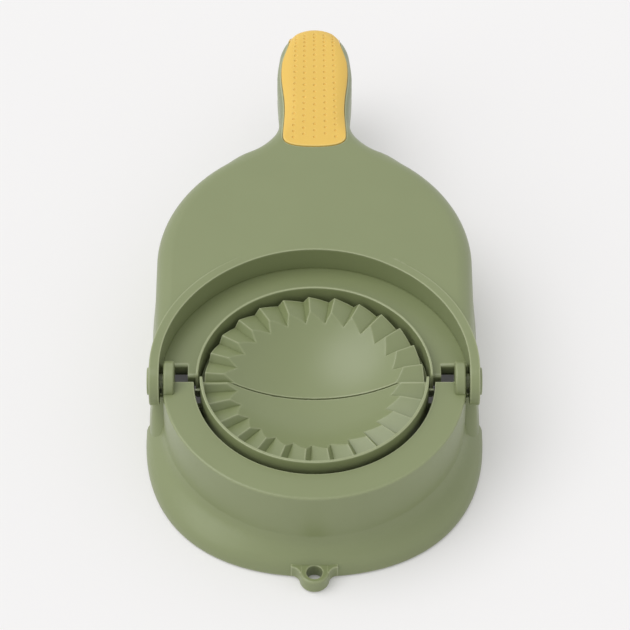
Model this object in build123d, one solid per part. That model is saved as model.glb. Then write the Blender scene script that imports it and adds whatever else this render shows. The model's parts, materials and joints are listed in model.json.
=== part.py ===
from build123d import *
import os
from math import atan, cos, degrees, radians, sin, sqrt, tan

# A hinged press for dumplings and empanadas, in millimetres, +Z up.
# It has a base with a pleated mould half in its round front drum and a dough tray behind it, and a lid
# with the mating mould half, a press disc below and a handle.  The lid turns about an X axis.
# Everything is drawn about the hinge: X = 0 in the middle, Y = 0 on the hinge axis and Z = 0 on the
# table.  export_parts then moves it, so that the origin lies below the middle of the whole outline.

# ---- driving dimensions ----
# Rings about the middle of the mould, from the pleats outwards
base_mould_radius = 37.45  # pleats of the base half
lid_mould_step = 0.55      # pleats of the lid half end this much further in
rim_width = 1.0            # upright rim of the base half
lip_clearance = 0.5        # rim to the lid's lip when the press is closed
lip_width = 0.9
opening_clearance = 0.55   # lip to the deck's opening
deck_width = 10.6
drum_clearance = 0.9       # drum to the lid's arch when the press is closed

# Hinge
hinge_height = 33.0        # axis above the table
arm_radius = 8.0           # round end of each lid arm, about the axis
ear_radius = 6.85          # round end of each base ear, about the axis
ear_width = 3.6
ear_setback = 0.45         # ear inside the drum's side
ear_edge_round = 0.8
pin_radius = 2.5
pin_running_clearance = 0.05
pin_seat_clearance = 0.02
pin_head_radius = 4.6
pin_head_height = 0.8
pin_end_setback = 1.2      # pin end inside the ear's inner face
pin_end_gap = 0.3          # pin end to the bottom of its bore

# Front drum of the base
deck_rise = 1.0            # deck above the axis
deck_thickness = 2.2
deck_setback = 1.0         # rear edge of the deck in front of the axis
base_wall = 2.2
skirt_flare = 6.4          # foot of the drum beyond its wall
skirt_height = 15.0
skirt_foot = 1.0           # upright edge of the foot
skirt_roll_share = 0.55    # convex share of the flare
skirt_fullness = 0.075     # how far the foot's plan is squarer than a circle
skirt_steps = 8            # sections through the flare
edge_round = 0.7
foot_gap = 0.4             # skirt above the table

# Rear body of the base
step_y = 1.5               # front face of the rear body
lid_side_setback = 1.1     # lid's straight side inside its arms
rear_overhang = 0.2        # rear body beyond the lid
rear_draft = 2.2           # how much further out the wall stands at the table
bowl_end_y = 52.0          # centre of the round rear end
lid_base_gap = 0.3
tray_plate_top = 17.1
tray_plate_thickness = 2.0
tray_side_width = 8.7      # side of the lid to the tray's plate
tray_plate_clearance = 0.3
tray_rim_width = 2.0
tray_rim_rise = 1.8        # rim above the plate
tray_floor_thickness = 2.0
front_wall_rise = 2.0      # cross wall between drum and tray, above the tray floor
window_front_y = 4.5
window_rear_y = 27.0
window_inner_x = 24.0
rib_width = 1.6
rib_depth = 5.0
rib_ring_radius = 22.0
rib_count = 6

# Hanging tab
tab_hole_radius = 2.65
tab_hole_reach = 1.8       # hole's centre beyond the foot of the drum
tab_end_radius = 4.95
tab_end_setback = 0.5      # centre of the tab's round end behind the hole's
tab_top = 5.5
tab_root_width = 14.8
tab_root_depth = 1.4       # foot of the tab's sweep inside the skirt's edge
tab_edge_round = 0.8

# Foot pads
pad_radius = 5.0
pad_thickness = 1.6
pad_clearance = 0.1
pad_lug_radius = 6.6
pad_lug_top = 5.0
pad_lug_inset = 8.1        # lug axis inside the foot edge
pad_front_angle = 42.0
pad_rear_angle = 38.0

# Mould halves
seam_gap = 0.5
cavity_depth = 9.4         # below the axis
cavity_radius = 49.5       # sphere of the filling cavity
mould_wall = 2.0
pleat_count = 13
pleat_pitch = 13.75
first_pleat_angle = 10.55
pleat_drop_share = 0.22    # steep share of each pleat
pleat_lag = 0.8            # ridges of the base half short of the lid half's valleys
ridge_height = 1.0         # ridges of the lid half above the axis
valley_height = -1.5
dough_seal = 1.2           # gap between the closed pleats
pleat_floor = 2.4          # wall below the pleats
pleat_start_radius = 18.0
rim_rise = 4.4             # rim of the base half above the axis
rim_skirt = 10.0           # rim below the axis
rim_end_round = 1.6
rim_setback = 0.5          # ends of the rim in front of the mould's seam face
mould_foot_depth = 7.5     # foot of the lid half below the axis
mould_foot_thickness = 2.0
mould_foot_clearance = 0.25
mould_side_wall = 1.6
boss_radius = 3.0
lug_angles = (40.0, 90.0, 140.0)
lug_width = 7.0
lug_thickness = 2.0
side_rib_y = 0.8           # small ribs across the gap beside the hinge
side_rib_width = 0.9
side_rib_depth = 3.0

# Lid
lid_wall = 2.2
lid_round = 6.5
dome_radius = 800.0        # crown of the lid's top across X
crown_rise = 0.4           # middle of the crown above the arch and the arms
ledge_drop = 1.2           # ledge below the axis
ledge_thickness = 3.2
ledge_front_y = 4.0
arch_width = 3.4
notch_width = 9.25
notch_rear_y = 8.6
lip_rise = 3.05
lip_end_gap = 0.3          # turned lip above the base half's lugs and side ribs
lip_front_y = 0.6
lip_end_round = 1.6
shelf_inner_radius = 29.0
shelf_thickness = 1.5
neck_half_width = 12.1
neck_round = 18.0
handle_half_width = 12.9
handle_end_y = 149.2       # centre of the handle's round end
side_curve_pull = 11.0

# Yellow grip
grip_depth = 1.5
grip_proud = 0.4
grip_clearance = 0.1
grip_front_y = 99.8
grip_front_bulge = 3.2
grip_front_half_width = 10.4
grip_corner_y = 105.5
grip_neck_half_width = 9.9
grip_neck_y = 119.0
grip_wide_half_width = 11.0
grip_wide_y = 143.0
grip_end_half_width = 9.6
grip_end_y = 156.0
grip_wrap_bottom = 30.0    # lowest point of the wrap over the handle's end

# Press disc and its carrier
press_inset = 1.5          # press disc inside the tray's plate
press_gap = 2.5            # dough between the two plates
press_thickness = 1.8
press_wall = 1.8
carrier_rise = 0.3         # carrier inside the lid's lower edge
carrier_thickness = 2.0
carrier_clearance = 0.3
carrier_front_y = 20.0
relief_clearance = 0.5
press_screw_reach = 3.4    # screws beyond the press disc
press_screw_angles = (12.0, 62.0, 118.0, 168.0)

# Handle back
back_front_y = 110.0
back_depth = 3.6
back_round = 3.0
back_tongue = 1.6
back_clearance = 0.25
back_screw_ys = (122.0, 150.0)

# Screws
screw_radius = 1.5
screw_head_radius = 2.7
screw_head_height = 1.8
screw_clearance = 0.15
screw_length = 7.0         # in the lid's bosses
mould_screw_length = 4.6   # in the deck and the lid's mould half
screw_recess_radius = 1.0
screw_recess_depth = 1.0

# ---- sizes that follow from them ----
axis_z = hinge_height
lid_mould_radius = base_mould_radius - lid_mould_step
rim_outer_radius = base_mould_radius + rim_width
lip_inner_radius = rim_outer_radius + lip_clearance
lip_outer_radius = lip_inner_radius + lip_width
mould_opening_radius = lip_outer_radius + opening_clearance
drum_radius = mould_opening_radius + deck_width
skirt_radius = drum_radius + skirt_flare
arch_radius = drum_radius + drum_clearance
ear_outer_x = drum_radius - ear_setback
ear_inner_x = ear_outer_x - ear_width
arch_outer_radius = arch_radius + arch_width
lid_radius = arch_outer_radius - lid_side_setback
rear_radius = lid_radius + rear_overhang
arm_root_y = sqrt(arch_outer_radius ** 2 - lid_radius ** 2)   # where the arch passes into the side
notch_inner_x = arch_radius - notch_width
deck_top = axis_z + deck_rise
base_top = axis_z - arm_radius - lid_base_gap
lid_bottom = axis_z - arm_radius
arch_top = axis_z + arm_radius
lid_top = arch_top + crown_rise
tray_floor_top = tray_plate_top - tray_plate_thickness
tray_floor_bottom = tray_floor_top - tray_floor_thickness
tray_plate_radius = lid_radius - tray_side_width
tray_rim_inner = tray_plate_radius + tray_plate_clearance
tray_rim_outer = tray_rim_inner + tray_rim_width
press_bottom = tray_plate_top + press_gap
cavity_centre_z = axis_z - cavity_depth + cavity_radius
ledge_top = axis_z - ledge_drop
ledge_bottom = ledge_top - ledge_thickness
shelf_top = axis_z - mould_foot_depth
shelf_bottom = shelf_top - shelf_thickness
lug_top = axis_z - lip_rise - lip_end_gap
lug_screw_reach = mould_opening_radius + boss_radius + lip_end_gap
press_radius = tray_plate_radius - press_inset
press_screw_radius = press_radius + press_screw_reach
carrier_bottom = lid_bottom + carrier_rise
carrier_top = carrier_bottom + carrier_thickness
handle_tip_y = handle_end_y + handle_half_width
tab_hole_y = skirt_radius + tab_hole_reach
tab_front_y = -(tab_hole_y - tab_end_setback + tab_end_radius)
origin_y = (handle_tip_y + tab_front_y) / 2
circle_pull = 4 / 3 * tan(radians(22.5))   # handle of a quarter circle's curve, over its radius
skirt_corner_radius = skirt_radius * sqrt(2) * (4 + 3 * (circle_pull + skirt_fullness)) / 8
big = 400.0                # a cutting size well past the part


# ---- shared shapes ----
def block(x0, x1, y0, y1, z0, z1):
    """A box between two corners."""
    size = (x1 - x0, y1 - y0, z1 - z0)
    return Pos((x0 + x1) / 2, (y0 + y1) / 2, (z0 + z1) / 2) * Box(*size)


def disc(radius, z0, z1, x=0.0, y=0.0):
    """An upright round disc."""
    return Pos(x, y, (z0 + z1) / 2) * Cylinder(radius, z1 - z0)


def tube(outer, inner, z0, z1, x=0.0, y=0.0):
    """An upright ring."""
    return disc(outer, z0, z1, x, y) - disc(inner, z0, z1, x, y)


def axle(radius, x0, x1):
    """A round bar on the hinge axis."""
    return Pos((x0 + x1) / 2, 0, axis_z) * (Rot(0, 90, 0) * Cylinder(radius, x1 - x0))


def both_sides(piece):
    """The piece and its mirror image on the other side of X = 0."""
    return piece + mirror(piece, Plane.YZ)


def rear_space(y=0.0):
    """All that lies behind a plane across the part."""
    return block(-big, big, y, big, -big, big)


def front_space(y=0.0):
    """All that lies in front of a plane across the part."""
    return block(-big, big, -big, y, -big, big)


def rear_outline(radius, front_y):
    """Plan of the rear body: straight sides and a round end."""
    side = Line((radius, front_y), (radius, bowl_end_y))
    end = CenterArc((0, bowl_end_y), radius, 0, 180)
    front = Line((-radius, front_y), (radius, front_y))
    return make_face([side, end, mirror(side, Plane.YZ), front])


def screw(x, y, under_head_z, length):
    """A self-tapping screw that points up, its head below under_head_z."""
    shank = disc(screw_radius, under_head_z, under_head_z + length, x, y)
    head = disc(screw_head_radius, under_head_z - screw_head_height, under_head_z, x, y)
    head = fillet(head.edges().group_by(Axis.Z)[0], screw_head_height / 3)
    recess_z = under_head_z - screw_head_height
    recess = disc(screw_recess_radius, recess_z, recess_z + screw_recess_depth, x, y)
    return shank + head - recess


def screw_hole(x, y, z0, z1):
    """The hole for a screw's shank."""
    return disc(screw_radius + screw_clearance, z0, z1, x, y)


# ---- base ----
def flare_radius(z):
    """Radius of the drum's wall at a height: an upright foot, a convex roll, then a hollow."""
    rise = skirt_height - skirt_foot
    turn = 2 * atan(skirt_flare / rise)
    roll = skirt_roll_share * rise / sin(turn)
    hollow = (1 - skirt_roll_share) * rise / sin(turn)
    climb = min(max(z - skirt_foot, 0.0), rise)
    if climb < rise * skirt_roll_share:
        return skirt_radius - roll + sqrt(roll ** 2 - climb ** 2)
    return drum_radius + hollow - sqrt(hollow ** 2 - (rise - climb) ** 2)


def skirt_plan(z, inset, back_y):
    """Plan of the flare at a height: round at the wall, a little squarer towards the foot."""
    radius = flare_radius(z) - inset
    spread = (flare_radius(z) - drum_radius) / skirt_flare
    pull = radius * (circle_pull + skirt_fullness * spread)
    half = [Line((radius, back_y), (radius, 0)),
            Bezier((radius, 0), (radius, -pull), (pull, -radius), (0, -radius))]
    back = Line((-radius, back_y), (radius, back_y))
    return Pos(0, 0, z) * make_face([*half, *[mirror(edge, Plane.YZ) for edge in half], back])


def drum_form(inset, top, back_y):
    """Solid form of the drum and its flared foot, moved inwards by inset."""
    step = (skirt_height - skirt_foot) / skirt_steps
    heights = [foot_gap] + [skirt_foot + index * step for index in range(skirt_steps + 1)]
    flare = loft([skirt_plan(z, inset, back_y) for z in heights])
    wall = loft([skirt_plan(skirt_height, inset, back_y), skirt_plan(top, inset, back_y)], ruled=True)
    return flare + wall


def front_drum():
    """Half-round drum with its deck, flared skirt and the opening for the mould."""
    back_y = step_y + base_wall
    drum = drum_form(0, deck_top, back_y) - block(-big, big, 0, big, base_top, big)
    rim_edges = drum.edges().group_by(Axis.Z)[-1].filter_by(GeomType.LINE, reverse=True)
    drum = fillet(rim_edges, edge_round)
    drum -= drum_form(base_wall, deck_top - deck_thickness, back_y + base_wall)
    drum -= disc(mould_opening_radius, skirt_height, deck_top + deck_thickness)
    return drum - block(-ear_inner_x, ear_inner_x, -deck_setback, 0, skirt_height, deck_top)


def rear_body():
    """Drafted wall round the dough tray, open above and below."""
    wide = rear_outline(rear_radius + rear_draft, step_y)
    narrow = rear_outline(rear_radius, step_y)
    inner_wide = rear_outline(rear_radius + rear_draft - base_wall, step_y + base_wall)
    inner_narrow = rear_outline(rear_radius - base_wall, step_y + base_wall)
    outer = loft([Pos(0, 0, foot_gap) * wide, Pos(0, 0, base_top) * narrow], ruled=True)
    inner = loft([Pos(0, 0, foot_gap) * inner_wide, Pos(0, 0, base_top) * inner_narrow], ruled=True)
    gate_x = drum_radius - base_wall
    gate = block(-gate_x, gate_x, step_y - base_wall, step_y + 2 * base_wall,
                 tray_floor_top + front_wall_rise, base_top + base_wall)
    return outer - inner - gate, inner


def tray(inside):
    """Floor of the dough tray with its round rim, corner windows and ribs."""
    floor = inside & block(-big, big, step_y, big, tray_floor_bottom, tray_floor_top)
    rim = tube(tray_rim_outer, tray_rim_inner, tray_floor_bottom, tray_plate_top + tray_rim_rise,
               0, bowl_end_y)
    window = block(window_inner_x, drum_radius - base_wall, window_front_y, window_rear_y, 0, axis_z)
    window -= disc(tray_rim_outer, 0, axis_z, 0, bowl_end_y)
    rib_bottom = tray_floor_bottom - rib_depth
    ribs = tube(rib_ring_radius, rib_ring_radius - rib_width, rib_bottom, tray_floor_bottom,
                0, bowl_end_y)
    for index in range(rib_count):
        angle = 360 / rib_count * (index + 0.5)
        spoke = block(rib_ring_radius - rib_width, tray_rim_outer, -rib_width / 2, rib_width / 2,
                      rib_bottom, tray_floor_bottom)
        ribs += Pos(0, bowl_end_y, 0) * (Rot(0, 0, angle) * spoke)
    return floor + rim - both_sides(window) + ribs


def ear():
    """Hinge ear on the right side of the deck, round about the axis."""
    lug = axle(ear_radius, ear_inner_x, ear_outer_x)
    lug = fillet(lug.edges().filter_by(GeomType.CIRCLE), ear_edge_round)
    web = block(ear_inner_x, ear_outer_x, -ear_radius, step_y, axis_z - ear_radius, axis_z)
    return lug + web


def hanging_tab():
    """Tab with a round hole at the foot of the drum, its sides sweeping out into the skirt."""
    end_y = -(tab_hole_y - tab_end_setback)
    root = (tab_root_width / 2, -(skirt_radius - tab_root_depth))
    half = [Line((root[0], -drum_radius), root),
            Bezier(root, (tab_end_radius, root[1]), (tab_end_radius, root[1]), (tab_end_radius, end_y)),
            CenterArc((0, end_y), tab_end_radius, 270, 90)]
    back = Line((-root[0], -drum_radius), (root[0], -drum_radius))
    plan = make_face([*half, *[mirror(edge, Plane.YZ) for edge in half], back])
    tab = extrude(Pos(0, 0, foot_gap) * plan, tab_top - foot_gap)
    top_edges = tab.edges().group_by(Axis.Z)[-1].filter_by(
        lambda edge: edge.center().Y < root[1] - tab_edge_round)
    tab = fillet(top_edges, tab_edge_round)
    inside = disc(skirt_radius - base_wall, 0, skirt_height)
    return tab - inside


def tab_hole():
    return disc(tab_hole_radius, -foot_gap, skirt_height, 0, -tab_hole_y)


def pad_places():
    """Axes of the four foot pads: front right, front left, rear right, rear left."""
    front = skirt_corner_radius - pad_lug_inset
    rear = rear_radius + rear_draft - pad_lug_inset
    front_x = front * cos(radians(pad_front_angle))
    front_y = -front * sin(radians(pad_front_angle))
    rear_x = rear * cos(radians(pad_rear_angle))
    rear_y = bowl_end_y + rear * sin(radians(pad_rear_angle))
    return {"front_right": (front_x, front_y), "front_left": (-front_x, front_y),
            "rear_right": (rear_x, rear_y), "rear_left": (-rear_x, rear_y)}


def base_shell():
    """Base: drum, rear body, tray, ears, tab and foot lugs as one moulding."""
    body, inside = rear_body()
    shell = front_drum() + body + tray(inside) + both_sides(ear()) + hanging_tab()
    for x, y in pad_places().values():
        shell += disc(pad_lug_radius, foot_gap, pad_lug_top, x, y)
        shell -= disc(pad_radius + pad_clearance, 0, pad_thickness, x, y)
    for angle in lug_angles:
        x, y = lug_screw_place(angle)
        shell += disc(boss_radius, lug_top, deck_top - deck_thickness / 2, x, y)
        shell -= screw_hole(x, y, lug_top - lug_thickness, deck_top - deck_thickness / 3)
    shell -= both_sides(axle(pin_radius + pin_running_clearance,
                             ear_inner_x + pin_end_setback - pin_end_gap, ear_outer_x + base_wall))
    return shell - tab_hole()


def foot_pad(x, y):
    """Soft round pad in its socket under the base."""
    pad = disc(pad_radius, 0, pad_thickness, x, y)
    return fillet(pad.edges().group_by(Axis.Z)[0], foot_gap / 2)


def lower_press_plate():
    """Round plate that carries the dough in the tray."""
    plate = disc(tray_plate_radius, tray_floor_top, tray_plate_top, 0, bowl_end_y)
    return fillet(plate.edges().group_by(Axis.Z)[-1], edge_round)


# ---- mould halves ----
def groove(start, bottom, end, top_z, bottom_z):
    """One pleat's valley between two radial ridges, as a wedge that widens outwards."""
    middle = (start + end) / 2
    along = Vector(cos(radians(middle)), sin(radians(middle)), 0)
    across = Vector(-sin(radians(middle)), cos(radians(middle)), 0)
    faces = []
    for reach in (pleat_start_radius, lid_mould_radius + mould_wall):
        plane = Plane(origin=along * reach, x_dir=across, z_dir=along)
        offsets = [reach * tan(radians(angle - middle)) for angle in (start, bottom, end)]
        points = [(offsets[0], top_z), (offsets[1], bottom_z), (offsets[2], top_z),
                  (offsets[2], top_z + mould_wall), (offsets[0], top_z + mould_wall)]
        faces.append(plane * make_face(Polyline(*points, close=True)))
    return loft(faces, ruled=True)


def pleat_grooves(ridge_shift, top_z, bottom_z):
    """All valleys of one half.  ridge_shift is 0 on the lid half and 1 on the base half, whose ridges
    stand where the lid half has its valleys."""
    grooves = []
    drop = pleat_drop_share * pleat_pitch
    for index in range(-1, pleat_count):
        ridge = first_pleat_angle + index * pleat_pitch
        if ridge_shift:
            shift = drop - pleat_lag
            turns = (ridge + shift, ridge + pleat_pitch - pleat_lag, ridge + shift + pleat_pitch)
        else:
            turns = (ridge, ridge + drop, ridge + pleat_pitch)
        grooves.append(groove(*turns, top_z, bottom_z))
    return grooves


def cavity_reach(z, wall=0.0):
    """Radius at which the cavity's sphere, thickened by a wall, stands at height z."""
    return sqrt((cavity_radius + wall) ** 2 - (cavity_centre_z - z) ** 2)


def mould_section(top_z, outer_radius, foot):
    """Section of a mould half: cavity, pleat field and the wall down to foot."""
    floor_z = top_z - pleat_floor - (ridge_height - valley_height)
    bottom_z = axis_z - cavity_depth
    cavity_edge = (cavity_reach(top_z), top_z)
    middle_z = (bottom_z + top_z) / 2
    cavity = ThreePointArc((0, bottom_z), (cavity_reach(middle_z), middle_z), cavity_edge)
    under_edge = (cavity_reach(floor_z, mould_wall), floor_z)
    low_z = bottom_z - mould_wall
    mean_z = (low_z + floor_z) / 2
    under = ThreePointArc(under_edge, (cavity_reach(mean_z, mould_wall), mean_z), (0, low_z))
    wall_x = outer_radius - mould_side_wall
    outside = Polyline(cavity_edge, (outer_radius, top_z), (outer_radius, foot), (wall_x, foot),
                       (wall_x, floor_z), under_edge)
    return make_face([cavity, outside, under, Line((0, low_z), (0, bottom_z))])


def pleated_half(top_z, bottom_z, outer_radius, foot, ridge_shift):
    """A mould half behind the axis with its pleats cut."""
    half = revolve(Plane.XZ * mould_section(top_z, outer_radius, foot), Axis.Z, 180)
    half -= pleat_grooves(ridge_shift, top_z, bottom_z)
    return half & rear_space(seam_gap / 2)


def lug_screw_place(angle):
    """Axis of a screw between the front mould's lug and the deck's boss."""
    return lug_screw_reach * cos(radians(angle)), -lug_screw_reach * sin(radians(angle))


def front_mould():
    """Mould half of the base, with its rim, three lugs under the deck and two side ribs."""
    top_z = axis_z - valley_height - dough_seal
    bottom_z = axis_z - ridge_height - dough_seal
    half = pleated_half(top_z, bottom_z, base_mould_radius, axis_z - rim_skirt, 1)
    rim = tube(rim_outer_radius, base_mould_radius - rim_width / 2, axis_z - rim_skirt, top_z)
    rim += tube(rim_outer_radius, base_mould_radius, top_z, axis_z + rim_rise)
    rim &= rear_space(seam_gap / 2 + rim_setback)
    rim_ends = rim.edges().filter_by(Axis.X).group_by(Axis.Z)[-1]
    rim = fillet(rim_ends, rim_end_round)
    half += rim
    for angle in lug_angles:
        lug = block(rim_outer_radius - rim_width / 2, lug_screw_reach, -lug_width / 2, lug_width / 2,
                    lug_top - lug_thickness, lug_top)
        lug += disc(lug_width / 2, lug_top - lug_thickness, lug_top, lug_screw_reach, 0)
        hole = screw_hole(lug_screw_reach, 0, lug_top - lug_thickness, lug_top)
        half += Rot(0, 0, angle) * (lug - hole)
    half += both_sides(block(rim_outer_radius - rim_width, mould_opening_radius - seam_gap / 2,
                             side_rib_y - side_rib_width / 2, side_rib_y + side_rib_width / 2,
                             lug_top - side_rib_depth, lug_top))
    return mirror(half, Plane.XZ)


def rear_mould():
    """Mould half of the lid, with a foot flange and three screw bosses."""
    top_z = axis_z + ridge_height
    bottom_z = axis_z + valley_height
    half = pleated_half(top_z, bottom_z, lid_mould_radius, shelf_top, 0)
    flange = tube(lip_inner_radius - mould_foot_clearance, lid_mould_radius - mould_side_wall,
                  shelf_top, shelf_top + mould_foot_thickness) & rear_space(lip_front_y)
    half += flange
    for x, y in mould_screw_places():
        half += disc(boss_radius, shelf_top, bottom_z - pleat_floor / 2, x, y)
        half -= screw_hole(x, y, shelf_top, bottom_z - pleat_floor / 2)
    return half


def mould_screw_places():
    """Screws that hold the lid's mould half, inside its wall."""
    reach = lid_mould_radius - mould_side_wall - boss_radius + mould_foot_clearance
    return [(reach * cos(radians(angle)), reach * sin(radians(angle))) for angle in lug_angles]


# ---- lid ----
def lid_outline(grow=0.0):
    """Plan of the lid: straight sides, round shoulder, concave neck and handle."""
    end_radius = lid_radius + grow
    neck_radius = neck_round - grow
    neck_x = neck_half_width + neck_round
    neck_y = bowl_end_y + sqrt((lid_radius + neck_round) ** 2 - neck_x ** 2)
    meet = Vector(neck_x, neck_y - bowl_end_y).normalized() * end_radius
    meet_angle = degrees(atan(meet.Y / meet.X))
    tip_radius = handle_half_width + grow
    side = Line((end_radius, 0), (end_radius, bowl_end_y))
    shoulder = CenterArc((0, bowl_end_y), end_radius, 0, meet_angle)
    neck = CenterArc((neck_x, neck_y), neck_radius, 180 + meet_angle, -meet_angle)
    grip_side = Bezier(neck @ 1, (neck @ 1) + Vector(0, side_curve_pull),
                       Vector(tip_radius, handle_end_y - side_curve_pull),
                       Vector(tip_radius, handle_end_y))
    tip = CenterArc((0, handle_end_y), tip_radius, 0, 90)
    half = [side, shoulder, neck, grip_side, tip]
    front = Line((-end_radius, 0), (end_radius, 0))
    return make_face([*half, *[mirror(edge, Plane.YZ) for edge in half], front])


def lid_body(grow=0.0, drop=0.0):
    """The lid's solid outer form, grown or shrunk by an even amount, with its top dropped."""
    floor = lid_bottom if grow >= 0 else lid_bottom - lid_wall
    top = lid_top + grow - drop
    prism = extrude(Pos(0, 0, floor) * lid_outline(grow), top - floor)
    crown = Pos(0, bowl_end_y, top - dome_radius) * (Rot(90, 0, 0) * Cylinder(dome_radius, big))
    body = prism & crown
    top_edges = body.faces().sort_by(Axis.Z)[-1].edges().filter_by(
        lambda edge: edge.center().Y > edge_round)
    return fillet(top_edges, lid_round + grow)


def grip_region(grow=0.0):
    """Plan of the grip's seat: convex front edge, waist, and a run out over the handle's end."""
    front_y = grip_front_y - grow
    front_x = grip_front_half_width + grow
    neck_x = grip_neck_half_width + grow
    wide_x = grip_wide_half_width + grow
    end_x = grip_end_half_width + grow
    past = handle_tip_y + lid_wall
    front = Bezier((0, front_y), (front_x, front_y), (front_x, front_y + grip_front_bulge),
                   (front_x, grip_corner_y))
    waist = Bezier((front_x, grip_corner_y), (front_x, grip_corner_y + grip_front_bulge),
                   (neck_x, grip_neck_y - grip_front_bulge), (neck_x, grip_neck_y))
    flank = Bezier((neck_x, grip_neck_y), (neck_x, grip_neck_y + side_curve_pull),
                   (wide_x, grip_wide_y - side_curve_pull), (wide_x, grip_wide_y))
    end = Bezier((wide_x, grip_wide_y), (wide_x, grip_wide_y + grip_front_bulge),
                 (end_x, grip_end_y - grip_front_bulge), (end_x, grip_end_y))
    run = Line((end_x, grip_end_y), (end_x, past))
    half = [front, waist, flank, end, run]
    back = Line((-end_x, past), (end_x, past))
    return make_face([*half, *[mirror(edge, Plane.YZ) for edge in half], back])


def grip_space(clearance):
    """The prism above the grip's seat, with a clearance all round."""
    return extrude(Pos(0, 0, grip_wrap_bottom - clearance) * grip_region(clearance), lid_top)


def handle_grip():
    """Soft grip: a skin that stands a little proud of the handle, over its end."""
    shell = lid_body(grip_proud) & grip_space(0)
    return shell - lid_body(-grip_depth)


def lid_arm():
    """Right hinge arm: the arch's end, brought down to the lid's lower edge and round in front."""
    round_end = axle(arm_radius, arch_radius, arch_outer_radius) & front_space(0)
    root = tube(arch_outer_radius, arch_radius, lid_bottom, arch_top)
    return round_end + (root & block(0, big, 0, arm_root_y, lid_bottom, arch_top))


def lid_screw_bosses():
    """Bosses in the lid for the press disc's and the handle back's screws, up into its wall."""
    bosses = [disc(boss_radius, carrier_top, lid_top, x, y) for x, y in press_screw_places()]
    bosses += [disc(boss_radius, lid_bottom, lid_top, 0, y) for y in back_screw_ys]
    trim = lid_body(-lid_wall / 2)
    return [boss & trim for boss in bosses]


def lid_shell():
    """Lid: top shell with handle, arch, ledge, lip, shelf and arms as one moulding."""
    thicker_y = grip_front_y - 2 * lid_wall
    shell = lid_body() - (lid_body(-lid_wall) & front_space(thicker_y))
    shell -= lid_body(-lid_wall, grip_depth) & rear_space(thicker_y)
    shell += lid_screw_bosses()
    shell -= disc(arch_radius, ledge_bottom, lid_top + lid_wall)
    arch = tube(arch_outer_radius, arch_radius, ledge_bottom, arch_top)
    ledge = tube(arch_radius + lid_wall, lip_inner_radius, ledge_bottom, ledge_top)
    lip = tube(lip_outer_radius, lip_inner_radius, shelf_bottom, axis_z + lip_rise)
    lip &= rear_space(lip_front_y)
    lip = fillet(lip.edges().filter_by(Axis.X).group_by(Axis.Z)[-1], lip_end_round)
    shelf = tube(lip_outer_radius, shelf_inner_radius, shelf_bottom, shelf_top)
    shell += arch & rear_space(0)
    shell += ledge & rear_space(ledge_front_y)
    shell += lip
    shell += shelf & rear_space(lip_front_y)
    notch = block(notch_inner_x, arch_radius, 0, notch_rear_y, lid_bottom - lid_wall, lid_top)
    shell -= both_sides(notch & disc(arch_radius, lid_bottom - lid_wall, lid_top))
    shell += both_sides(lid_arm())
    shell -= both_sides(axle(pin_radius + pin_seat_clearance, arch_radius - lid_wall,
                             arch_outer_radius + lid_wall))
    shell -= grip_space(grip_clearance) - lid_body(-grip_depth - grip_clearance)
    for x, y in press_screw_places():
        shell -= screw_hole(x, y, carrier_top, carrier_top + screw_length)
    for y in back_screw_ys:
        shell -= screw_hole(0, y, lid_bottom, lid_bottom + screw_length)
    for x, y in mould_screw_places():
        shell -= screw_hole(x, y, shelf_bottom, shelf_top)
    return shell


def press_screw_places():
    return [(press_screw_radius * cos(radians(angle)),
             bowl_end_y + press_screw_radius * sin(radians(angle))) for angle in press_screw_angles]


def upper_press_plate():
    """Press disc below the lid: a shallow cup with a flange inside the lid's wall."""
    inset = lid_wall + carrier_clearance
    flange = extrude(Pos(0, 0, carrier_bottom) * rear_outline(lid_radius - inset, 0), carrier_thickness)
    flange &= rear_space(carrier_front_y)
    cup = disc(press_radius, press_bottom, carrier_top, 0, bowl_end_y)
    cup = fillet(cup.edges().group_by(Axis.Z)[0], edge_round)
    hollow = disc(press_radius - press_wall, press_bottom + press_thickness, lid_top, 0, bowl_end_y)
    plate = flange + cup - hollow
    plate -= disc(lip_outer_radius + relief_clearance, shelf_bottom - relief_clearance, lid_top)
    cavity_shell = cavity_radius + mould_wall + relief_clearance
    plate -= Pos(0, 0, cavity_centre_z) * Sphere(cavity_shell)
    for x, y in press_screw_places():
        plate -= screw_hole(x, y, carrier_bottom, carrier_top)
    for x, y in mould_screw_places():
        plate -= disc(screw_head_radius + relief_clearance, press_bottom + press_thickness, shelf_bottom,
                      x, y)
    return plate


def handle_back():
    """Lower half of the handle, with a tongue inside the shell's wall."""
    region = rear_space(back_front_y)
    cover = extrude(Pos(0, 0, lid_bottom - back_depth) * lid_outline(), back_depth) & region
    lower = cover.edges().group_by(Axis.Z)[0].filter_by(
        lambda edge: edge.center().Y > back_front_y + edge_round)
    cover = fillet(lower, back_round)
    inset = lid_wall + back_clearance
    tongue = extrude(Pos(0, 0, lid_bottom) * lid_outline(-inset), back_tongue)
    tongue &= rear_space(back_front_y + inset)
    tongue -= extrude(Pos(0, 0, lid_bottom) * lid_outline(-inset - back_tongue), back_tongue)
    for y in back_screw_ys:
        cover -= screw_hole(0, y, lid_bottom - back_depth, lid_bottom)
        cover -= disc(screw_head_radius + screw_clearance, lid_bottom - back_depth,
                      lid_bottom - back_depth / 2, 0, y)
    return cover + tongue


def hinge_pin(side):
    """Headed pin, pressed in the lid's arm and turning in the base's ear."""
    shaft = axle(pin_radius, ear_inner_x + pin_end_setback, arch_outer_radius)
    head = axle(pin_head_radius, arch_outer_radius, arch_outer_radius + pin_head_height)
    head = fillet(head.edges().group_by(Axis.X)[-1], pin_head_height / 3)
    pin = shaft + head
    return pin if side > 0 else mirror(pin, Plane.YZ)


# ---- screws ----
def group(pieces):
    return Compound(children=list(pieces))


def front_mould_screws():
    return group(screw(*lug_screw_place(angle), lug_top - lug_thickness, mould_screw_length)
                 for angle in lug_angles)


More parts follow.
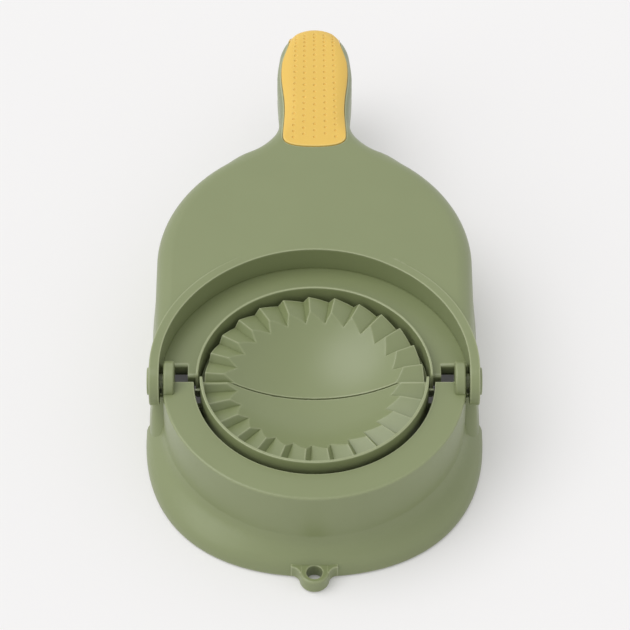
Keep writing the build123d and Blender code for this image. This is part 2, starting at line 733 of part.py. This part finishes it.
def rear_mould_screws():
    return group(screw(x, y, shelf_bottom, mould_screw_length) for x, y in mould_screw_places())


def press_plate_screws():
    return group(screw(x, y, carrier_bottom, screw_length) for x, y in press_screw_places())


def handle_screws():
    return group(screw(0, y, lid_bottom - back_depth / 2, screw_length) for y in back_screw_ys)


# ---- all parts ----
def all_parts():
    parts = {
        "base_shell": base_shell(),
        "lower_press_plate": lower_press_plate(),
        "front_mould": front_mould(),
        "front_mould_screws": front_mould_screws(),
        "lid_shell": lid_shell(),
        "rear_mould": rear_mould(),
        "rear_mould_screws": rear_mould_screws(),
        "upper_press_plate": upper_press_plate(),
        "press_plate_screws": press_plate_screws(),
        "handle_back": handle_back(),
        "handle_screws": handle_screws(),
        "handle_grip": handle_grip(),
        "hinge_pin_right": hinge_pin(1),
        "hinge_pin_left": hinge_pin(-1),
    }
    for place, (x, y) in pad_places().items():
        parts["foot_pad_" + place] = foot_pad(x, y)
    return parts


def export_parts():
    os.makedirs("parts", exist_ok=True)
    for name, part in all_parts().items():
        export_step(Pos(0, -origin_y, 0) * part, f"parts/{name}.step")


export_parts()
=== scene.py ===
import json
from math import cos, radians, sin
import bmesh
import bpy
from mathutils import Matrix, Vector
from mathutils.bvhtree import BVHTree


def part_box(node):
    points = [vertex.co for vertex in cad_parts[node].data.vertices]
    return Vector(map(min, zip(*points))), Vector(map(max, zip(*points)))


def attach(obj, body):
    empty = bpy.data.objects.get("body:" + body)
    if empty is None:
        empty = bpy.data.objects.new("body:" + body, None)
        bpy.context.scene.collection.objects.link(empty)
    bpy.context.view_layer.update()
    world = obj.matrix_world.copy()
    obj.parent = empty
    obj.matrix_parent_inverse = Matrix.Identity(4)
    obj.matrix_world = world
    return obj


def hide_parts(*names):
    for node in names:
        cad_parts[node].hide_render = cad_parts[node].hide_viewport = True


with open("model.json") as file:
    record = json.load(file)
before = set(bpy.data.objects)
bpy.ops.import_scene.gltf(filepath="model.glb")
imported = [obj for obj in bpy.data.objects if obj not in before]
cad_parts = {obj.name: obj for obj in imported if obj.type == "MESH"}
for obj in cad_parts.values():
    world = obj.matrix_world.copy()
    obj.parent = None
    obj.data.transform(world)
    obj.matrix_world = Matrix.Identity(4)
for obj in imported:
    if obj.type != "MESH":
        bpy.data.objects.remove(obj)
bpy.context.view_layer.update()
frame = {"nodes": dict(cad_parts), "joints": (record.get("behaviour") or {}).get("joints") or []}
hinge_y = frame["joints"][0]["pos_m"][1]
hinge_z = frame["joints"][0]["pos_m"][2]
scene = bpy.context.scene

# ---- Base ----
# One injection moulding in sage-green plastic: the round front drum with its flared foot and hanging
# tab, and behind it the deep body with the dough tray. The mould leaves small radii on every corner,
# and a fine eroded grain on the skin.


class Wire:
    """The output of a node; an operation on it adds a Math node."""

    def __init__(self, nodes, socket):
        self.nodes = nodes
        self.socket = socket

    def maths(self, operation, first, second):
        return self.nodes.node("ShaderNodeMath", {"operation": operation}, {0: first, 1: second})

    def __add__(self, other):
        return self.maths("ADD", self, other)

    def __sub__(self, other):
        return self.maths("SUBTRACT", self, other)

    def __rsub__(self, other):
        return self.maths("SUBTRACT", other, self)

    def __mul__(self, other):
        return self.maths("MULTIPLY", self, other)

    __radd__ = __add__
    __rmul__ = __mul__


class Nodes:
    """The nodes of a material or of the world, all added one way."""

    def __init__(self, tree):
        self.tree = tree

    def node(self, kind, settings, inputs, output=0):
        node = self.tree.nodes.new(kind)
        for name, value in settings.items():
            setattr(node, name, value)
        for name, value in inputs.items():
            self.feed(node.inputs[name], value)
        return Wire(self, node.outputs[output])

    def feed(self, socket, value):
        if isinstance(value, Wire):
            self.tree.links.new(value.socket, socket)
        else:
            socket.default_value = value


class Finish(Nodes):
    """A material, with the patterns that the finishes share."""

    def __init__(self, name):
        self.material = bpy.data.materials.new(name)
        self.material.use_nodes = True
        super().__init__(self.material.node_tree)
        self.skin = self.tree.nodes["Principled BSDF"].inputs

    def noise(self, scale, detail=2.0):
        place = self.node("ShaderNodeTexCoord", {}, {}, "Object")
        return self.node("ShaderNodeTexNoise", {}, {"Vector": place, "Scale": scale, "Detail": detail})

    def mix(self, share, first, second):
        return self.node("ShaderNodeMix", {"data_type": "RGBA"}, {0: share, 6: first, 7: second}, 2)

    def near(self, reach, inside, local=True):
        """How much skin lies within reach: inside, near outward edges; otherwise, in hollows."""
        free = self.node("ShaderNodeAmbientOcclusion",
                         {"inside": inside, "only_local": local, "samples": 8},
                         {"Distance": reach}, "AO")
        return 1.0 - free

    def bump(self, height, depth, below):
        return self.node("ShaderNodeBump", {}, {"Height": height, "Distance": depth, "Normal": below})

    def bare_skin(self):
        return self.node("ShaderNodeNewGeometry", {}, {}, "Normal")


def moulded_plastic(name, colour, shade, edge, hollow, roughness, grain_depth):
    """A plastic skin: slow changes of tone, a painted highlight on outward edges, painted shade in
    hollows, fine grain on faint waves.
    """
    tone_scale = 45.0
    painted_highlight_reach = 0.0006
    painted_highlight_strength = 4.0
    painted_shade_reach = 0.0007
    painted_shade_strength = 1.3
    gloss_scale = 1400.0
    gloss_spread = 0.12
    wave_scale = 70.0
    wave_depth = 0.00006
    grain_scale = 2800.0
    finish = Finish(name)
    body = finish.mix(finish.noise(tone_scale), shade, colour)
    # Painted highlight: outward edges get the paler edge colour, for the light that their small radii
    # catch.
    body = finish.mix(finish.near(painted_highlight_reach, inside=True) * painted_highlight_strength, body, edge)
    # Painted shade: hollows, creases and pleat valleys get the darker hollow colour, for the shade
    # that falls there.
    body = finish.mix(finish.near(painted_shade_reach, inside=False) * painted_shade_strength, body, hollow)
    finish.feed(finish.skin["Base Color"], body)
    gloss = finish.noise(gloss_scale) * gloss_spread + (roughness - gloss_spread / 2)
    finish.feed(finish.skin["Roughness"], gloss)
    finish.skin["Specular IOR Level"].default_value = 0.6
    waves = finish.bump(finish.noise(wave_scale), wave_depth, finish.bare_skin())
    grain = finish.bump(finish.noise(grain_scale, detail=3.0), grain_depth, waves)
    finish.feed(finish.skin["Normal"], grain)
    return finish.material


green = moulded_plastic("green_plastic",
                        colour=(0.240, 0.278, 0.131, 1), shade=(0.222, 0.258, 0.119, 1),
                        # edge is the colour of the painted highlight on outward edges; hollow is the
                        # colour of the painted shade in hollows.
                        edge=(0.365, 0.402, 0.230, 1), hollow=(0.150, 0.180, 0.066, 1),
                        roughness=0.36, grain_depth=0.000012)


def only(thing):
    """Leaves one thing selected and active."""
    bpy.ops.object.select_all(action="DESELECT")
    thing.select_set(True)
    bpy.context.view_layer.objects.active = thing


def apply_modifier(piece, name, kind, **settings):
    """Adds a modifier and applies it."""
    only(piece)
    modifier = piece.modifiers.new(name, kind)
    for key, value in settings.items():
        setattr(modifier, key, value)
    bpy.ops.object.modifier_apply(modifier=name)


def settle(piece, node, corner):
    """Mends what the corner does where edges run close together: a point thrown off the node's
    surface goes back on it, and a sliver that is folded over is closed up."""
    moulding = frame["nodes"][node].data
    surface = BVHTree.FromPolygons([vertex.co for vertex in moulding.vertices],
                                   [face.vertices for face in moulding.polygons])
    deepest = corner * 0.8
    proudest = 0.00001
    turned_over = -0.3
    shape = bmesh.new()
    shape.from_mesh(piece.data)
    for vertex in shape.verts:
        place, facing, _, distance = surface.find_nearest(vertex.co)
        if distance > deepest or (vertex.co - place).dot(facing) > proudest:
            vertex.co = place
    shape.normal_update()
    folds = {}
    overlaps = {}
    for face in shape.faces:
        facing = surface.find_nearest(face.calc_center_median())[1]
        if face.normal.dot(facing) < turned_over:
            shortest = min(face.edges, key=lambda edge: edge.calc_length())
            longest = max(face.edges, key=lambda edge: edge.calc_length())
            if shortest.calc_length() < corner:
                folds[shortest.index] = shortest
            else:
                overlaps[longest.index] = longest
    overlaps = [edge for index, edge in sorted(overlaps.items()) if index not in folds]
    bmesh.ops.dissolve_edges(shape, edges=overlaps, use_verts=False, use_face_split=False)
    folds = [edge for index, edge in sorted(folds.items()) if edge.is_valid]
    bmesh.ops.collapse(shape, edges=folds)
    shape.to_mesh(piece.data)
    shape.free()


def rounded_copy(node, corner):
    """A merged copy of a moulded piece, with the mould's radius on its outward edges."""
    same_point = 0.00001
    sharp_turn = radians(35)
    least_area = 1e-10
    piece = bpy.data.objects.new(node + "_moulded", frame["nodes"][node].data.copy())
    scene.collection.objects.link(piece)
    only(piece)
    bpy.ops.object.mode_set(mode="EDIT")
    bpy.ops.mesh.select_all(action="SELECT")
    bpy.ops.mesh.remove_doubles(threshold=same_point)
    bpy.ops.mesh.dissolve_degenerate(threshold=same_point)
    bpy.ops.mesh.customdata_custom_splitnormals_clear()
    bpy.ops.object.mode_set(mode="OBJECT")
    shape = bmesh.new()
    shape.from_mesh(piece.data)
    weight = shape.edges.layers.float.new("bevel_weight_edge")
    for edge in shape.edges:
        if len(edge.link_faces) == 2 and edge.calc_face_angle_signed() > sharp_turn:
            if min(face.calc_area() for face in edge.link_faces) > least_area:
                edge[weight] = 1.0
    shape.to_mesh(piece.data)
    shape.free()
    apply_modifier(piece, "corner", "BEVEL", width=corner, segments=2, limit_method="WEIGHT",
                   use_clamp_overlap=False)
    settle(piece, node, corner)
    return piece


def smooth(piece):
    """Smooth shading, except across sharp edges."""
    only(piece)
    bpy.ops.object.shade_smooth_by_angle(angle=radians(40))


def put_on(piece, node, body, material):
    """Gives a piece its shading and its finish, and lets it stand for its node."""
    smooth(piece)
    apply_modifier(piece, "flat_faces", "WEIGHTED_NORMAL", keep_sharp=True, weight=80)
    piece.data.materials.clear()
    piece.data.materials.append(material)
    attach(piece, body)
    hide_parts(node)


def put_on_green(piece, node, body):
    """Does the same in the green plastic that most pieces are moulded in."""
    put_on(piece, node, body, green)


shell_corner = 0.00030
put_on_green(rounded_copy("base_shell", shell_corner), "base_shell", "base")

# ---- Roots of the hanging tab ----
# On both sides the tab runs into the foot of the drum with a hollow sweep of 3 mm radius, as high as
# the tab; both are part of the base's moulding.


def add_block(name, middle, size):
    """A box of this size about its middle."""
    bpy.ops.object.select_all(action="DESELECT")
    bpy.ops.mesh.primitive_cube_add(size=1, location=middle, scale=size)
    block = bpy.context.active_object
    block.name = name
    bpy.ops.object.transform_apply(location=True, rotation=True, scale=True)
    return block


def round_corners(piece, corner, segments):
    """A small radius on all sharp edges."""
    apply_modifier(piece, "corner", "BEVEL", width=corner, segments=segments, limit_method="ANGLE",
                   angle_limit=radians(50))


sides = {"right": 1, "left": -1}
sweep_radius = 0.0030
sweep_x = 0.00785
sweep_y = hinge_y - 0.0601
root_x = 0.0059
root_y = hinge_y - 0.0576
root_width = 0.0039
root_depth = 0.0038
root_height = 0.0050
root_lift = 0.0005
root_corner = 0.0005
cutter_height = 0.03
for name, side in sides.items():
    root = add_block("tab_root_" + name, (side * root_x, root_y, root_lift + root_height / 2),
                     (root_width, root_depth, root_height))
    bpy.ops.object.select_all(action="DESELECT")
    bpy.ops.mesh.primitive_cylinder_add(vertices=64, radius=sweep_radius, depth=cutter_height,
                                        location=(side * sweep_x, sweep_y, 0))
    hollow = bpy.context.active_object
    apply_modifier(root, "sweep", "BOOLEAN", object=hollow, operation="DIFFERENCE", solver="EXACT")
    bpy.data.objects.remove(hollow)
    round_corners(root, root_corner, 3)
    smooth(root)
    apply_modifier(root, "flat_faces", "WEIGHTED_NORMAL", keep_sharp=True)
    root.data.materials.append(green)
    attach(root, "base")

# ---- Cheeks of the base ----
# Where the deep rear body meets the slimmer drum, its front corner is rounded on each side and runs
# down into the flared foot in one sweep. Both cheeks are part of the base's moulding.
cheek_middle_x = 0.0500
cheek_middle_y = hinge_y + 0.0015
cheek_back_y = hinge_y + 0.0030
cheek_low = 0.0050
cheek_rise = 0.0190
cheek_rings = 12
cheek_corner = 0.0004


def cheek_reach(climb):
    """How far the cheek reaches to the side and to the front, at a share of its height."""
    body_top_x = 0.0544
    body_lean = 0.0022
    lean_start = 0.0004
    lean_height = 0.0243
    below_skin = 0.00002
    top_reach = 0.0012
    foot_sweep = 0.0090
    height = cheek_low + cheek_rise * climb
    body_side_x = body_top_x + body_lean * (1 - (height - lean_start) / lean_height)
    return body_side_x - below_skin - cheek_middle_x, top_reach + foot_sweep * (1 - climb) ** 1.6


for name, side in sides.items():
    middle = Vector((side * cheek_middle_x, cheek_middle_y, cheek_low))
    bpy.ops.object.select_all(action="DESELECT")
    bpy.ops.mesh.primitive_circle_add(vertices=96, radius=1, fill_type="NGON", location=middle)
    cheek = bpy.context.active_object
    cheek.name = "cheek_" + name
    bpy.ops.object.mode_set(mode="EDIT")
    bpy.ops.mesh.select_all(action="SELECT")
    wide, deep = cheek_reach(0)
    bpy.ops.transform.resize(value=(wide, deep, 1), center_override=middle)
    for ring in range(1, cheek_rings + 1):
        next_wide, next_deep = cheek_reach(ring / cheek_rings)
        bpy.ops.mesh.extrude_region_move(
            TRANSFORM_OT_translate={"value": (0, 0, cheek_rise / cheek_rings)})
        bpy.ops.transform.resize(value=(next_wide / wide, next_deep / deep, 1), center_override=middle)
        wide, deep = next_wide, next_deep
    for cut, outwards in (((0, cheek_back_y, 0), (0, 1, 0)), (middle, (-side, 0, 0))):
        bpy.ops.mesh.select_all(action="SELECT")
        bpy.ops.mesh.bisect(plane_co=cut, plane_no=outwards, use_fill=True, clear_outer=True)
    bpy.ops.mesh.select_all(action="SELECT")
    bpy.ops.mesh.normals_make_consistent(inside=False)
    bpy.ops.object.mode_set(mode="OBJECT")
    bpy.ops.object.transform_apply(location=True, rotation=True, scale=True)
    round_corners(cheek, cheek_corner, 3)
    smooth(cheek)
    cheek.data.materials.append(green)
    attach(cheek, "base")

# ---- Lower press plate ----
# The plate under the dough: a flat round plate with a rounded edge, moulded apart in the same green
# plastic. It lies inside the low rim of the base's tray.
put_on_green(rounded_copy("lower_press_plate", shell_corner), "lower_press_plate", "base")

# ---- Front mould half ----
# The base's half of the folding mould: a bowl with pleats round its edge and an upright rim, moulded
# in the same green plastic and screwed up under the deck.
pleat_corner = 0.00025
put_on_green(rounded_copy("front_mould", pleat_corner), "front_mould", "base")

# ---- Front mould screws ----
# Zinc-plated self-tapping screws with a pan head and a cross recess. Three hold the mould half's
# lugs under the deck, driven from below.
steel = Finish("zinc_steel")
steel_tone = steel.mix(steel.noise(600.0), (0.56, 0.56, 0.55, 1), (0.66, 0.66, 0.65, 1))
steel.feed(steel.skin["Base Color"], steel_tone)
steel.feed(steel.skin["Roughness"], steel.noise(1500.0) * 0.15 + 0.28)
steel.skin["Metallic"].default_value = 1.0

head_radius = 0.0027
head_height = 0.0018
head_round = 0.0008
shank_radius = 0.0015
shank_start = 0.0020
bpy.ops.object.select_all(action="DESELECT")
bpy.ops.mesh.primitive_cylinder_add(vertices=40, radius=head_radius, depth=head_height,
                                    location=(0, 0, head_height / 2))
screw = bpy.context.active_object
screw.name = "screw_model"
bpy.ops.object.transform_apply(location=True, rotation=False, scale=False)
bpy.ops.object.mode_set(mode="EDIT")
bpy.ops.mesh.select_all(action="DESELECT")
bpy.ops.object.mode_set(mode="OBJECT")
for edge in screw.data.edges:
    edge.select = all(screw.data.vertices[end].co.z < head_height / 2 for end in edge.vertices)
bpy.ops.object.mode_set(mode="EDIT")
bpy.ops.mesh.select_mode(type="EDGE")
bpy.ops.mesh.bevel(offset=head_round, segments=5)
bpy.ops.mesh.select_all(action="DESELECT")
bpy.ops.object.mode_set(mode="OBJECT")
for face in screw.data.polygons:
    face.select = face.normal.z > 0.9
bpy.ops.object.mode_set(mode="EDIT")
bpy.ops.mesh.select_mode(type="FACE")
bpy.ops.mesh.inset(thickness=head_radius - shank_radius, depth=0)
bpy.ops.mesh.extrude_region_move(TRANSFORM_OT_translate={"value": (0, 0, shank_start)})
bpy.ops.object.mode_set(mode="OBJECT")
recess_radius = 0.0016
recess_tip_radius = 0.0009
recess_length = 0.0016
recess_middle_z = 0.0004
wing_share = 0.30
for turn in (0, 90):
    bpy.ops.object.select_all(action="DESELECT")
    bpy.ops.mesh.primitive_cone_add(
        vertices=4, radius1=recess_radius, radius2=recess_tip_radius, depth=recess_length,
        location=(0, 0, recess_middle_z), rotation=(0, 0, radians(45)))
    wing = bpy.context.active_object
    bpy.ops.object.transform_apply(location=True, rotation=True, scale=False)
    wing.data.transform(Matrix.Scale(wing_share, 4, (1, 0, 0)))
    wing.data.transform(Matrix.Rotation(radians(turn), 4, "Z"))
    apply_modifier(screw, "recess", "BOOLEAN", object=wing, operation="DIFFERENCE", solver="EXACT")
    bpy.data.objects.remove(wing)


def drive_screws(node, body, places):
    """Puts a copy of the screw at each place, head down, as long as the node's screws."""
    low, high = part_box(node)
    for count, (x, y) in enumerate(places, 1):
        piece = bpy.data.objects.new(f"{node}_{count}", screw.data.copy())
        scene.collection.objects.link(piece)
        for vertex in piece.data.vertices:
            if vertex.co.z > head_height + shank_start / 2:
                vertex.co.z = high.z - low.z
        piece.data.transform(Matrix.Translation((x, y, low.z)))
        put_on(piece, node, body, steel.material)


def on_circle(radius, angles):
    """Places on a circle about the middle of the mould."""
    return [(radius * cos(radians(angle)), hinge_y + radius * sin(radians(angle))) for angle in angles]


front_screw_radius = 0.0437
drive_screws("front_mould_screws", "base", on_circle(front_screw_radius, (220, 270, 320)))

# ---- Foot pads ----
# Four discs of matte pale silicone, pressed into shallow round pockets under the base so that the
# press doesn't slide.
rubber = Finish("pad_rubber")
rubber_tone = rubber.mix(rubber.noise(120.0), (0.44, 0.45, 0.37, 1), (0.50, 0.51, 0.42, 1))
rubber.feed(rubber.skin["Base Color"], rubber_tone)
rubber.feed(rubber.skin["Roughness"], rubber.noise(900.0) * 0.12 + 0.60)
rubber_grain_depth = 0.00002
rubber_grain = rubber.bump(rubber.noise(2200.0, detail=3.0), rubber_grain_depth, rubber.bare_skin())
rubber.feed(rubber.skin["Normal"], rubber_grain)
pad_corner = 0.00025
for place in ("front_right", "front_left", "rear_right", "rear_left"):
    pad = "foot_pad_" + place
    put_on(rounded_copy(pad, pad_corner), pad, "base", rubber.material)

# ---- Lid ----
# The upper shell, one green moulding: the domed cover, the arch round the drum, the ledge and lip
# about the mould, the two hinge arms, and a handle that swells a little towards its end, where its
# tip is drawn in like the nose of a bullet.


def eased(value, low, high):
    """0 below low and 1 above high, with a soft passage."""
    share = min(max((value - low) / (high - low), 0.0), 1.0)
    return share * share * (3 - 2 * share)


def swell_handle(piece):
    """Widens or narrows the handle's plan along its length, by about a millimetre at most."""
    # Places are in millimetres behind the hinge. Of each swell: its share of the width, where it
    # begins and where it is full.
    handle_start = 94
    swells = ((0.030, 94, 106), (0.028, 122, 136), (-0.112, 138, 155), (0.045, 155, 162))
    middle_swell = 0.042
    neck_shift = 0.0009
    for vertex in piece.data.vertices:
        along = (vertex.co.y - hinge_y) * 1000
        if along < handle_start:
            continue
        side = abs(vertex.co.x) * 1000
        swell = sum(share * eased(along, low, high) for share, low, high in swells)
        swell += (middle_swell * eased(along, 97, 104) * (1 - eased(along, 144, 152))
                  * (1 - eased(side, 10.0, 12.8)))
        vertex.co.x *= 1 + swell
        vertex.co.y += neck_shift * eased(along, 95, 99.5) * (1 - eased(along, 103, 118))
    return piece


put_on_green(swell_handle(rounded_copy("lid_shell", shell_corner)), "lid_shell", "lid")

# ---- Lips and webs at the hinge notches ----
# The lid's ledge ends at each side in a notch for the base's ear. A lip with a rounded top stiffens
# the notch's rear edge and the ledge's front end, and a thin web goes down behind the notch. All are
# part of the lid's moulding.
lip_top = hinge_z - 0.0012
lip_round = 0.0009
lip_corner = 0.0002
# Of each: its inner and outer side, its front and back behind the hinge, and its bottom and top.
lip_sizes = {
    "ledge_lip": (0.0397, 0.0426, 0.0029, 0.0042, hinge_z - 0.0060, lip_top),
    "notch_lip": (0.0425, 0.0517, 0.0076, 0.0088, hinge_z - 0.0050, lip_top),
    "notch_web": (0.0424, 0.0520, 0.0087, 0.0101, hinge_z - 0.0071, hinge_z - 0.0041),
}
for kind, (inner, outer, front, back, bottom, top) in lip_sizes.items():
    for name, side in sides.items():
        middle = (side * (inner + outer) / 2, hinge_y + (front + back) / 2, (bottom + top) / 2)
        lip = add_block(kind + "_" + name, middle, (outer - inner, back - front, top - bottom))
        bpy.ops.object.mode_set(mode="EDIT")
        bpy.ops.mesh.select_all(action="DESELECT")
        shape = bmesh.from_edit_mesh(lip.data)
        for edge in shape.edges:
            edge.select = all(end.co.y < middle[1] and end.co.z > middle[2] for end in edge.verts)
        bmesh.update_edit_mesh(lip.data)
        bpy.ops.mesh.bevel(offset=lip_round, segments=5, affect="EDGES")
        bpy.ops.object.mode_set(mode="OBJECT")
        round_corners(lip, lip_corner, 2)
        smooth(lip)
        lip.data.materials.append(green)
        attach(lip, "lid")

# ---- Rear mould half ----
# The lid's half of the folding mould, pleated to mesh with the front half when the lid comes over.
# It is a green moulding that stands on the lid's shelf, held from below by screws.
put_on_green(rounded_copy("rear_mould", pleat_corner), "rear_mould", "lid")

# ---- Rear mould screws ----
# Three more of the short zinc-plated screws. They go up through the lid's shelf into the bosses of
# the rear mould half.
rear_screw_radius = 0.03255
drive_screws("rear_mould_screws", "lid", on_circle(rear_screw_radius, (40, 90, 140)))

# ---- Upper press plate ----
# The green disc that flattens the dough, moulded in one with the carrier that closes the lid from
# below.
put_on_green(rounded_copy("upper_press_plate", shell_corner), "upper_press_plate", "lid")

# ---- Press plate screws ----
# Four longer screws of the same zinc-plated steel. They go through the carrier of the press plate, up
# into the bosses of the lid.
boss_places = [(0.04636, 0.01264), (0.02225, 0.04462), (-0.02225, 0.04462), (-0.04636, 0.01264)]
drive_screws("press_plate_screws", "lid", boss_places)

# ---- Hinge pins ----
# A smooth green pin with a flat round head goes through each arm of the lid, into the blind bore
# of the base's ear.
pin_corner = 0.00020
for name in sides:
    pin = "hinge_pin_" + name
    put_on_green(rounded_copy(pin, pin_corner), pin, "lid")

# ---- Handle back ----
# The lower half shell of the handle, a green moulding that closes the hollow of the handle from
# below and swells with it.
put_on_green(swell_handle(rounded_copy("handle_back", shell_corner)), "handle_back", "lid")

# ---- Handle screws ----
# Two more zinc-plated screws, sunk into the underside of the handle, pull the half shell up against
# its upper half.
handle_screw_places = [(0, 0.07278), (0, 0.10078)]
drive_screws("handle_screws", "lid", handle_screw_places)
bpy.data.objects.remove(screw)

# ---- Grip ----
# A soft yellow skin moulded over the handle's top and round its end, a little proud of the green.
# Its top has five rows of small round dimples, which close up towards the end.
yellow = moulded_plastic("yellow_rubber",
                         colour=(0.83, 0.545, 0.105, 1), shade=(0.805, 0.520, 0.095, 1),
                         # edge is the colour of the painted highlight on outward edges; hollow is the
                         # colour of the painted shade in hollows and dimples.
                         edge=(0.86, 0.62, 0.18, 1), hollow=(0.60, 0.31, 0.02, 1),
                         roughness=0.55, grain_depth=0.000010)
grip = swell_handle(rounded_copy("handle_grip", shell_corner))
tip_sink = 0.00036
inwards = [vertex.normal.copy() for vertex in grip.data.vertices]
for vertex, inward in zip(grip.data.vertices, inwards):
    along = (vertex.co.y - hinge_y) * 1000
    tip_share = eased(along, 150, 158) * eased(abs(vertex.co.x) * 1000, 6.0, 9.0)
    vertex.co -= inward * tip_sink * tip_share

# Of each row: its distance from the middle, its first dimple and its pitch, in millimetres.
dimple_rows = ((0, 105.0, 3.2), (3.7, 106.7, 3.05), (-3.7, 106.4, 3.05),
               (7.15, 105.2, 2.95), (-7.15, 104.9, 2.95))
rows_end = 157.0
# The rows are as far apart as given here, and draw together behind it.
rows_true = 125.0
row_taper = 0.0023
closing_start = 132.0
closing_length = 32.0
dimple_radius = 0.00080
dimple_lift = 0.00045
steepest = 0.3
above_grip = 0.06
dimples = []
for row_x, along, pitch in dimple_rows:
    while along < rows_end:
        x = row_x * (1 - row_taper * (along - rows_true))
        start = Vector((x / 1000, hinge_y + along / 1000, above_grip))
        found, top, normal, _ = grip.ray_cast(start, Vector((0, 0, -1)))
        if found and normal.z > steepest:
            dimples.append(top + normal * dimple_lift)
        along += pitch * (1 - (max(along - closing_start, 0.0) / closing_length) ** 2)
bpy.ops.object.select_all(action="DESELECT")
bpy.ops.mesh.primitive_uv_sphere_add(segments=16, ring_count=8, radius=dimple_radius)
ball = bpy.context.active_object
balls = []
for middle in dimples:
    part = bpy.data.objects.new("dimple", ball.data.copy())
    part.data.transform(Matrix.Translation(middle))
    scene.collection.objects.link(part)
    balls.append(part)
bpy.data.objects.remove(ball)
only(balls[0])
for part in balls:
    part.select_set(True)
bpy.ops.object.join()
cutter = bpy.context.active_object
apply_modifier(grip, "dimples", "BOOLEAN", object=cutter, operation="DIFFERENCE", solver="EXACT")
bpy.data.objects.remove(cutter)
put_on(grip, "handle_grip", "lid", yellow)

# ---- Floor, light and camera ----
# A wide white floor that keeps the object's shadow, two broad soft lamps from the left and an even
# sky. From below the floor is clear, so that the underside can be seen.


def seen_directly(nodes):
    """1 for a ray from the camera, by way of a gloss or through glass too, and 0 for other light."""
    seen = nodes.node("ShaderNodeLightPath", {}, {}, "Is Camera Ray")
    for kind in ("Is Glossy Ray", "Is Transmission Ray"):
        seen = seen.maths("MAXIMUM", seen, nodes.node("ShaderNodeLightPath", {}, {}, kind))
    return seen


bpy.ops.object.select_all(action="DESELECT")
bpy.ops.mesh.primitive_plane_add(size=6.0, location=(0, 0, 0))
floor = bpy.context.active_object
floor.name = "floor"
floor_finish = Finish("floor_white")
floor_finish.skin["Base Color"].default_value = (0.925, 0.915, 0.915, 1)
floor_finish.skin["Roughness"].default_value = 1.0
floor_finish.skin["Specular IOR Level"].default_value = 0.0
lit = Wire(floor_finish, floor_finish.tree.nodes["Principled BSDF"].outputs[0])
plain = floor_finish.node("ShaderNodeEmission", {}, {"Color": (0.93, 0.92, 0.92, 1)})
# The camera sees a share of plain white glow in it, and less of that close to and under the object,
# which paints shade there.
open_share = 0.34
covered_share = 0.06
cover_reach = 0.05
open_floor = 1.0 - floor_finish.near(cover_reach, inside=False, local=False)
plain_share = open_floor * (open_share - covered_share) + covered_share
above = floor_finish.node("ShaderNodeMixShader", {},
                          {0: seen_directly(floor_finish) * plain_share, 1: lit, 2: plain})
below = floor_finish.node("ShaderNodeNewGeometry", {}, {}, "Backfacing")
clear = floor_finish.node("ShaderNodeBsdfTransparent", {}, {})
both = floor_finish.node("ShaderNodeMixShader", {}, {0: below, 1: above, 2: clear})
floor_finish.feed(floor_finish.tree.nodes["Material Output"].inputs[0], both)
floor.data.materials.append(floor_finish.material)

sky_light = 0.64
world = bpy.data.worlds.new("studio")
scene.world = world
world.use_nodes = True
sky = Nodes(world.node_tree)
background = world.node_tree.nodes["Background"].inputs
background["Color"].default_value = (1, 1, 1, 1)
sky.feed(background["Strength"], seen_directly(sky) * (1 - sky_light) + sky_light)

# Of each lamp: where it shines from, its strength and its width in degrees.
main_lamp = ((-0.46, 0.12, 0.88), 1.06, 45)
front_lamp = ((-0.80, -0.34, 0.50), 0.32, 40)
for where, strength, width in (main_lamp, front_lamp):
    bpy.ops.object.light_add(type="SUN", location=where)
    lamp = bpy.context.active_object
    lamp.data.angle = radians(width)
    lamp.data.energy = strength
    lamp.rotation_euler = Vector(where).to_track_quat("Z", "Y").to_euler()

distance = 1.2
lift = radians(50.06)
tilt = radians(90 - 49.0006)
camera_x = 0.00018
camera_y = hinge_y - distance * cos(lift)
camera_z = hinge_z + distance * sin(lift)
focus_pixels = 3580
picture_pixels = 630
bpy.ops.object.camera_add(location=(camera_x, camera_y, camera_z), rotation=(tilt, 0, 0))
camera = bpy.context.active_object
camera.data.sensor_width = 36
camera.data.lens = focus_pixels / picture_pixels * camera.data.sensor_width
scene.camera = camera
scene.view_settings.view_transform = "Standard"
